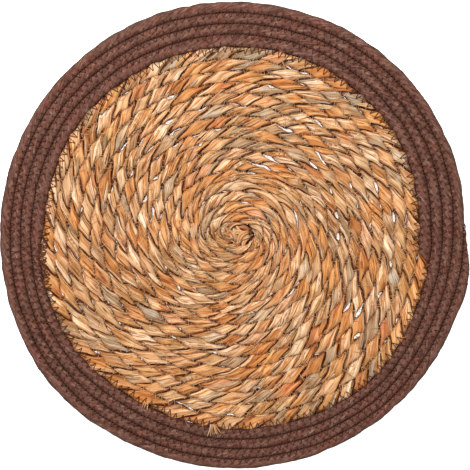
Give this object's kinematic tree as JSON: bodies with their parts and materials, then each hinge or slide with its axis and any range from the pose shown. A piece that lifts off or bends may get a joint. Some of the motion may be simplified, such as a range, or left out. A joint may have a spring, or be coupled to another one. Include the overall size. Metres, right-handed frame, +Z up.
{
  "type": "chair seat pad",
  "caption": "Round flat coiled seat pad: a two-ply straw rope sewn into a spiral, with a border of dyed twisted paper rope.",
  "frame": {"origin": "middle of the pad's outline on its underside", "axes": "+Z up through the thickness, +X towards the place where the straw rope ends and the border begins; the coil grows anticlockwise seen from above"},
  "size_m": [0.3818, 0.3792, 0.0083],
  "materials": {
    "straw_leaf": "dried twisted leaf",
    "tan_thread": "spun thread",
    "rope_core": "undyed twisted paper",
    "brown_paper": "dyed crepe paper, twisted",
    "brown_thread": "spun thread"
  },
  "bodies": {
    "root": {"straw_ply_a": "straw_leaf", "straw_ply_b": "straw_leaf", "straw_start_tuck": "straw_leaf", "loose_leaf_ends": "straw_leaf", "straw_seam_needle_thread": "tan_thread", "straw_seam_bobbin_thread": "tan_thread", "paper_rope_core": "rope_core", "paper_rope_wrap": "brown_paper", "rope_end_stitches": "brown_thread", "border_seam_needle_thread": "brown_thread", "border_seam_bobbin_thread": "brown_thread"}
  },
  "joints": []
}
